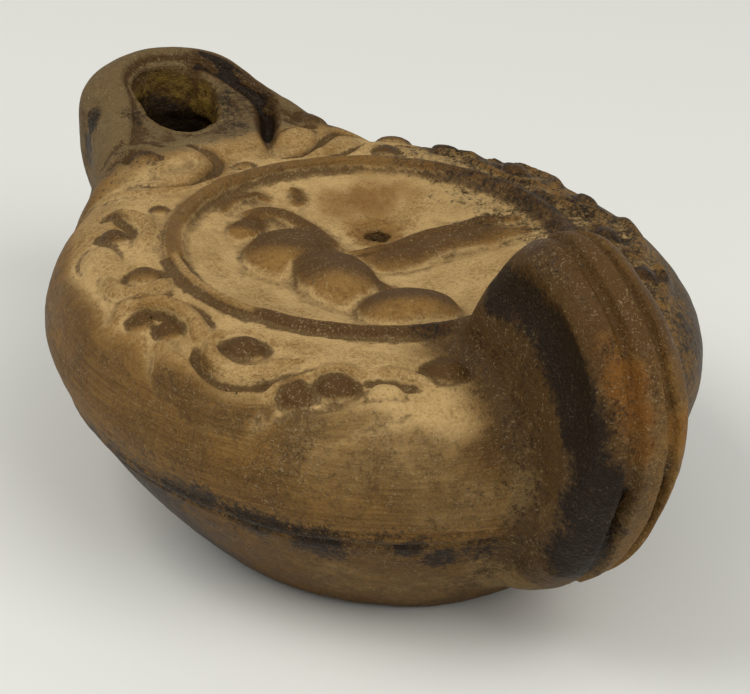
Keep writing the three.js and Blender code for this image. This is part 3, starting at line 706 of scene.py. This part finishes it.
# How much of each finish lies at each vertex, kept as one layer of the mesh for each.
def makePatina(mesh):
    points = meshPoints(mesh)
    x, y, z = points.T
    normals, edges = meshFacts(mesh)
    fine = hollowness(points, normals, edges, 5)
    broad = hollowness(points, normals, edges, 40)
    radius = np.hypot(x - rim["x"], y - rim["y"])
    reach = np.hypot(x, y / body["lengthRatio"])
    facing = np.degrees(np.arctan2(y, x)) % 360
    offHandle = handleField(x, y, z)
    onTop = smoothStep(0.2, 0.6, normals[:, 2]) * smoothStep(24, 27, z)
    onHandle = smoothStep(1.8, 0.4, offHandle) * smoothStep(-23, -26, y)
    onNozzle = smoothStep(31, 38, y)
    inHole = smoothStep(0.3, -0.3, wickReach(x, y)) * smoothStep(20, 22, z) * smoothStep(36.5, 34.5, z)
    inHole = np.maximum(inHole, smoothStep(0.5, -0.1, hollowField(x, y, z)[0]))
    nearHandle = smoothStep(6, 0, offHandle) * smoothStep(-21, -26, y)
    band = onTop * smoothStep(*patina["bandEdge"], reach + lumps(x, y, z, 5, 21)) * (1 - nearHandle)
    band *= 1 - patina["bandOnRight"] * smoothStep(10, 30, x) * smoothStep(40, 20, y)
    band = np.maximum(band, onTop * onNozzle * patina["bandOnNozzle"])
    brown = topBrown.read(x, y) * onTop * (1 - onHandle)
    dark = topDark.read(x, y) * onTop * (1 - onHandle)
    # the right side, turned from the key light, gets a grey film and painted shade
    rightFilmAndShade = smoothStep(8, 30, x) * (1 - band)
    # pale earth left in the hollows and over the shoulder
    pale = patina["earthAll"] + patina["earthOnBand"] * band * (1 - 0.55 * onNozzle)
    # less pale on brown places, and in grooves as dirt and painted shade
    pale -= patina["earthOffBrown"] * np.clip(brown, -0.5, 1.3) + patina["earthOffShadedGrooves"] * dark
    inHollow = np.clip(broad / 0.25, -0.35, 1) * (1 - 0.4 * onNozzle) * (1 - nearHandle)
    byRim = smoothStep(rim["inner"] - 2.4, rim["inner"] - 1.0, radius)
    byRim *= smoothStep(rim["inner"], rim["inner"] - 0.5, radius) * onTop
    onFront = smoothStep(215, 238, facing) * smoothStep(2, -4, x) * smoothStep(17, 20, z) * (1 - band)
    pale += patina["earthInHollows"] * inHollow + patina["earthByRim"] * byRim
    pale += patina["earthOnFront"] * onFront
    pale += patina["earthOnNozzle"] * onNozzle * np.clip(-fine / 0.03, 0, 1)
    pale += patches(points, palePatches)
    # less pale near the handle, and less pale on the right side as painted shade
    pale -= patina["earthOffHandle"] * nearHandle + patina["earthOffShadedRight"] * rightFilmAndShade
    pale -= patina["earthOffDish"] * onTop * smoothStep(rim["inner"] - 1, rim["inner"] - 4, radius)
    # grey film on the nozzle, the handle's left flank and the right side; on the right side, turned from
    # the key light, the grey is also painted shade
    onFlank = nearHandle * smoothStep(46, 38, z) * smoothStep(4, 0, x)
    grey = patina["greyNozzle"] * onNozzle + patina["greyAndShadeRight"] * rightFilmAndShade
    grey += patina["greyHandle"] * onFlank + patina["greyPlateau"] * onNozzle * band
    # soot and stains, with black also painted as shade on the right side and as shadow in the grooves and
    # the volute
    seam = z - wear["seamZ"] - 0.35 * lumps(x, y, 0 * z, 9, 14)
    stained = smoothStep(188, 204, facing) * smoothStep(258, 246, facing) * (1 - onHandle)
    alongSeam = stained * smoothStep(-2.2, -0.2, seam)
    alongSeam *= smoothStep(4.5 + 3 * lumps(x, y, z, 8, 22), 0.3, seam)
    alongSeam *= mix(patina["sootSeamLeft"], patina["sootSeamFront"], smoothStep(222, 240, facing))
    lowWall = smoothStep(25, 14, z) * smoothStep(220, 195, facing) * smoothStep(150, 185, facing)
    ribSide = x + patina["streakRib"] - 0.17 * np.clip(29 - z, 0, None) + 0.5 * lumps(x, y, z, 3, 25)
    fromStreak = streakReach.read(y, z)
    streak = onHandle * smoothStep(1.3, -1.3, ribSide) * mix(0.45, 1, smoothStep(47, 42, z))
    streak *= smoothStep(*patina["streakEdge"], fromStreak - 0.8 + 1.3 * lumps(x, y, z, 4, 23))
    streak *= patina["sootStreak"]
    # black on the right side: some soot, and painted shade away from the key light
    rightSootAndShade = smoothStep(8, 25, x) * smoothStep(40, 20, y) * (1 - onHandle)
    slots = onHandle * smoothStep(0.12, 0.4, broad) * smoothStep(32, 26, z) * smoothStep(-44, -48, y)
    black = np.maximum.reduce([
        patches(points, sootPatches), alongSeam, streak, slots, patina["sootAndShadeRight"] * rightSootAndShade,
        patina["sootByHandle"] * nearHandle * smoothStep(2, -2, x), patina["sootLowWall"] * lowWall,
        # black in the deepest grooves and the volute: soot, and painted shadow
        patina["sootAndShadowInGrooves"] * np.clip(dark - 1, 0, 1),
        inHole * smoothStep(32.2, 29.4, z + 0.25 * (x - y + 48)),
    ])
    orange = patches(points, orangePatches) * (1 - 0.8 * streak)
    # brown where the slip is left and the high places are rubbed, and painted shade: in small hollows and
    # grooves, on the rim's near side and beside its broken piece
    filling = [fillingHole["x"], fillingHole["y"], 30, 2.6, patina["brownFilling"]]
    rubbedAndShaded = patches(points, [filling]) + patina["brownRelief"] * np.clip(brown, 0, 1.2)
    wallBrown = patina["brownWall"] + patina["brownLow"] * smoothStep(20, 12, z)
    wallBrown += patina["brownHigh"] * np.clip(0.5 - fine / 0.08, 0, 1)
    rubbedAndShaded += wallBrown * (1 - band) * (1 - 0.6 * onHandle)
    rubbedAndShaded += patina["brownNozzle"] * onNozzle * np.clip(fine / 0.03, 0, 1)
    # brown in the grooves: dirt, and painted shade
    rubbedAndShaded += patina["brownGrooves"] * np.clip(dark, 0, 1)
    rubbedAndShaded += patina["brownHandleTop"] * onHandle * smoothStep(34, 44, z)
    # brown in small hollows: dirt, and painted shade
    rubbedAndShaded += patina["brownAndShadeInHollows"] * np.clip(fine / 0.03 - 0.6, 0, 1)
    byStreak = smoothStep(13, 4, fromStreak + 2 * lumps(x, y, z, 5, 26)) * smoothStep(0, -3, x)
    rubbedAndShaded += patina["brownByStreak"] * onHandle * byStreak
    rubbedAndShaded += patina["brownBack"] * onHandle * smoothStep(-3, 0, x) * smoothStep(-42, -50, y)
    atRoot = smoothStep(9, 1, offHandle) * smoothStep(-19, -25, y) * smoothStep(3, -3, x)
    rubbedAndShaded += patina["brownRoot"] * atRoot * smoothStep(22, 28, z)
    rubbedAndShaded *= 1 - patina["orangeOverBrown"] * np.clip(orange, 0, 1)
    lines = smoothStep(0.75, 0.35, abs(normals[:, 2])) * (1 - onHandle) * (1 - inHole)
    layers = {
        "pale": pale, "brown": rubbedAndShaded, "black": black, "grey": grey, "orange": orange, "lines": lines,
        "hole": inHole,
    }
    for name, value in layers.items():
        layer = mesh.attributes.new(name, "FLOAT", "POINT")
        layer.data.foreach_set("value", np.clip(value, 0, 1.5).astype(np.float32))


makePatina(lamp.data)
print("patina laid")


# One socket of a shader tree: sums and products of such sockets add their own Math nodes.
class Wire:
    def __init__(self, paint, socket):
        self.paint, self.socket = paint, socket

    def maths(self, operation, first, second):
        return self.paint.node("ShaderNodeMath", {"operation": operation}, first, second)

    def __add__(self, other):
        return self.maths("ADD", self, other)

    def __radd__(self, other):
        return self.maths("ADD", other, self)

    def __sub__(self, other):
        return self.maths("SUBTRACT", self, other)

    def __rsub__(self, other):
        return self.maths("SUBTRACT", other, self)

    def __mul__(self, other):
        return self.maths("MULTIPLY", self, other)

    def __rmul__(self, other):
        return self.maths("MULTIPLY", other, self)


class Paint:
    def __init__(self, name):
        self.material = bpy.data.materials.new(name)
        self.material.use_nodes = True
        self.tree = self.material.node_tree
        self.shader = self.tree.nodes["Principled BSDF"]
        self.place = self.node("ShaderNodeTexCoord", {}, out="Object")

    def feed(self, socket, value):
        if isinstance(value, Wire):
            self.tree.links.new(value.socket, socket)
        else:
            socket.default_value = (*value, 1) if socket.type == "RGBA" else value

    # A node of one type: its settings first, then its sockets in order or by name.
    def node(self, kind, settings, *values, out=0, **named):
        made = self.tree.nodes.new(kind)
        for key, value in settings.items():
            setattr(made, key, value)
        for socket, value in zip(made.inputs, values):
            self.feed(socket, value)
        for key, value in named.items():
            self.feed(made.inputs[key.replace("_", " ")], value)
        return Wire(self, made.outputs[out])

    def layer(self, name):
        return self.node("ShaderNodeAttribute", {"attribute_name": name}, out="Fac")

    def stretched(self, x, y, z):
        return self.node("ShaderNodeMapping", {}, self.place, Scale=(x, y, z))

    # Noise with features of about the given size in millimetres.
    def noise(self, size, detail=3.0, roughness=0.55, distortion=0.0, place=None):
        return self.node("ShaderNodeTexNoise", {}, Vector=place or self.place, Scale=1 / (size * mm),
                         Detail=detail, Roughness=roughness, Distortion=distortion)

    def between(self, value, low, high):
        return self.node("ShaderNodeMapRange", {"interpolation_type": "SMOOTHSTEP"}, value, low, high)

    def blend(self, amount, under, over):
        mixed = self.node("ShaderNodeMix", {"data_type": "RGBA"}, amount, out=2)
        colours = [socket for socket in mixed.socket.node.inputs if socket.type == "RGBA"]
        self.feed(colours[0], under)
        self.feed(colours[1], over)
        return mixed

    def finish(self, colour, roughness, normal, **fixed):
        self.feed(self.shader.inputs["Base Color"], colour)
        self.feed(self.shader.inputs["Roughness"], roughness)
        self.feed(self.shader.inputs["Normal"], normal)
        for key, value in fixed.items():
            self.shader.inputs[key.replace("_", " ")].default_value = value
        return self.material


clay = {                                           # colours, and how deep the grain is in metres
    "light": (0.28, 0.150, 0.040), "deep": (0.125, 0.058, 0.012), "pale": (0.53, 0.35, 0.145),
    "paleDeep": (0.33, 0.205, 0.075), "brown": (0.060, 0.027, 0.006), "black": (0.010, 0.005, 0.002),
    "grey": (0.125, 0.087, 0.040), "orange": (0.165, 0.058, 0.005), "speck": (0.46, 0.34, 0.17),
    "crust": (0.19, 0.115, 0.020), "grain": 0.00034,
}


def makeClay():
    paint = Paint("fired_clay")
    sweep = paint.noise(16, 2, 0.5)
    drift = paint.noise(6, 4, 0.6)
    mottle = paint.noise(2.0, 4, 0.65)
    fleck = paint.noise(0.7, 3, 0.65)
    grain = paint.noise(0.3, 2, 0.6)
    brushed = paint.noise(0.5, 3, 0.7, 0.3, paint.stretched(0.05, 0.05, 1))
    dust = paint.noise(0.55, 2, 0.6, 2.2)
    fine = (fleck - 0.5) + (grain - 0.5) * 0.9
    breakUp = (drift - 0.5) * 0.7 + (mottle - 0.5) * 0.7 + fine
    lines = (brushed - 0.5) * paint.layer("lines")
    shade = mottle * 0.6 + fleck * 0.7 - 0.1 + (sweep - 0.5) * 0.35 + lines
    base = paint.blend(paint.between(shade, 0.22, 0.74), clay["deep"], clay["light"])
    crumbs = paint.between(grain * 0.6 + fleck * 0.4 + (drift - 0.5) * 0.8, 0.25, 0.7)
    earth = paint.blend(crumbs, clay["paleDeep"], clay["pale"])
    scatter = (drift - 0.5) * 0.3 + fine * 0.6 + lines * 0.4
    pale = paint.between(paint.layer("pale") + scatter, 0.0, 1.0)
    colour = paint.blend(pale, base, earth)
    grey = paint.between(paint.layer("grey") + breakUp, 0.15, 1.05)
    colour = paint.blend(grey * 0.8, colour, clay["grey"])
    orange = paint.between(paint.layer("orange") + breakUp * 0.8, 0.3, 1.0)
    colour = paint.blend(orange * 0.8, colour, clay["orange"])
    brown = paint.between(paint.layer("brown") + breakUp * 0.8, 0.15, 0.85)
    colour = paint.blend(brown * 0.85, colour, clay["brown"])
    hole = paint.layer("hole")
    crust = paint.blend(paint.between(mottle, 0.35, 0.65), clay["brown"], clay["crust"])
    colour = paint.blend(hole, colour, crust)
    black = paint.between(paint.layer("black") + breakUp * 1.2, 0.2, 0.95)
    colour = paint.blend(black * 0.94, colour, clay["black"])
    specks = paint.between(dust + (grain - 0.5) * 0.5 + (drift - 0.5) * 0.25, 0.58, 0.74)
    specks = specks * (1 - hole * 0.7) * (1 - black * 0.75)
    colour = paint.blend(specks * 0.4, colour, clay["speck"])
    height = grain * 0.5 + fleck * 0.8 + mottle * 0.7 + lines * 0.7 + pale * 0.3 - black * 0.2
    normal = paint.node("ShaderNodeBump", {}, Strength=1.0, Distance=clay["grain"], Height=height)
    roughness = 0.66 - brown * 0.18 - black * 0.12 + pale * 0.1 + (fleck - 0.5) * 0.3 + hole * 0.1
    return paint.finish(colour, roughness, normal, Specular_IOR_Level=0.12)


lamp.data.materials.clear()
lamp.data.materials.append(makeClay())
print("clay made")


view = {                                           # metres, degrees and a lens in millimetres
    "place": (-0.14609, -0.23477, 0.16526), "azimuth": 32, "elevation": 27.80, "roll": 1.29, "lens": 124.85,
}


def makeCamera():
    camera = bpy.data.objects.new("camera", bpy.data.cameras.new("camera"))
    camera.data.lens = view["lens"]
    camera.data.sensor_width = 36
    camera.data.clip_start = 0.01
    turn = Matrix.Rotation(math.radians(-view["azimuth"]), 4, "Z")
    tilt = Matrix.Rotation(math.radians(90 - view["elevation"]), 4, "X")
    roll = Matrix.Rotation(math.radians(view["roll"]), 4, "Z")
    camera.matrix_world = Matrix.Translation(view["place"]) @ turn @ tilt @ roll
    bpy.context.scene.collection.objects.link(camera)
    bpy.context.scene.camera = camera


makeCamera()

lights = {                                         # [place, watts, size, colour]
    "key": [(-0.42, 0.12, 0.62), 2.3, 0.45, (1.0, 0.99, 0.955)],
    "fill": [(0.14, -0.56, 0.58), 3.1, 0.6, (1.0, 0.99, 0.96)],
}
room = {"floor": (0.80, 0.80, 0.755), "sky": (0.95, 0.96, 0.96), "skyStrength": 0.46, "floorRoughness": 0.9}


def makeLights():
    for name, (place, watts, size, colour) in lights.items():
        light = bpy.data.objects.new(name, bpy.data.lights.new(name, "AREA"))
        light.data.energy = watts
        light.data.size = size
        light.data.color = colour
        light.location = place
        light.rotation_euler = (Vector((0, 0, 0.02)) - Vector(place)).to_track_quat("-Z", "Y").to_euler()
        bpy.context.scene.collection.objects.link(light)
    world = bpy.data.worlds.new("room")
    world.use_nodes = True
    world.node_tree.nodes["Background"].inputs["Color"].default_value = (*room["sky"], 1)
    world.node_tree.nodes["Background"].inputs["Strength"].default_value = room["skyStrength"]
    bpy.context.scene.world = world
    bpy.context.scene.view_settings.view_transform = "Standard"


makeLights()


def makeFloor():
    half = 1.5
    corners = np.array([(-half, -half, 0), (half, -half, 0), (half, half, 0), (-half, half, 0)]) / mm
    floor = bpy.data.objects.new("floor", makeMesh("floor", corners, np.array([[0, 1, 2, 3]])))
    floor.location.z = -0.0002
    paint = bpy.data.materials.new("paper")
    paint.use_nodes = True
    shader = paint.node_tree.nodes["Principled BSDF"]
    shader.inputs["Base Color"].default_value = (*room["floor"], 1)
    shader.inputs["Roughness"].default_value = room["floorRoughness"]
    floor.data.materials.append(paint)
    bpy.context.scene.collection.objects.link(floor)


makeFloor()
print("camera, lights and floor set")
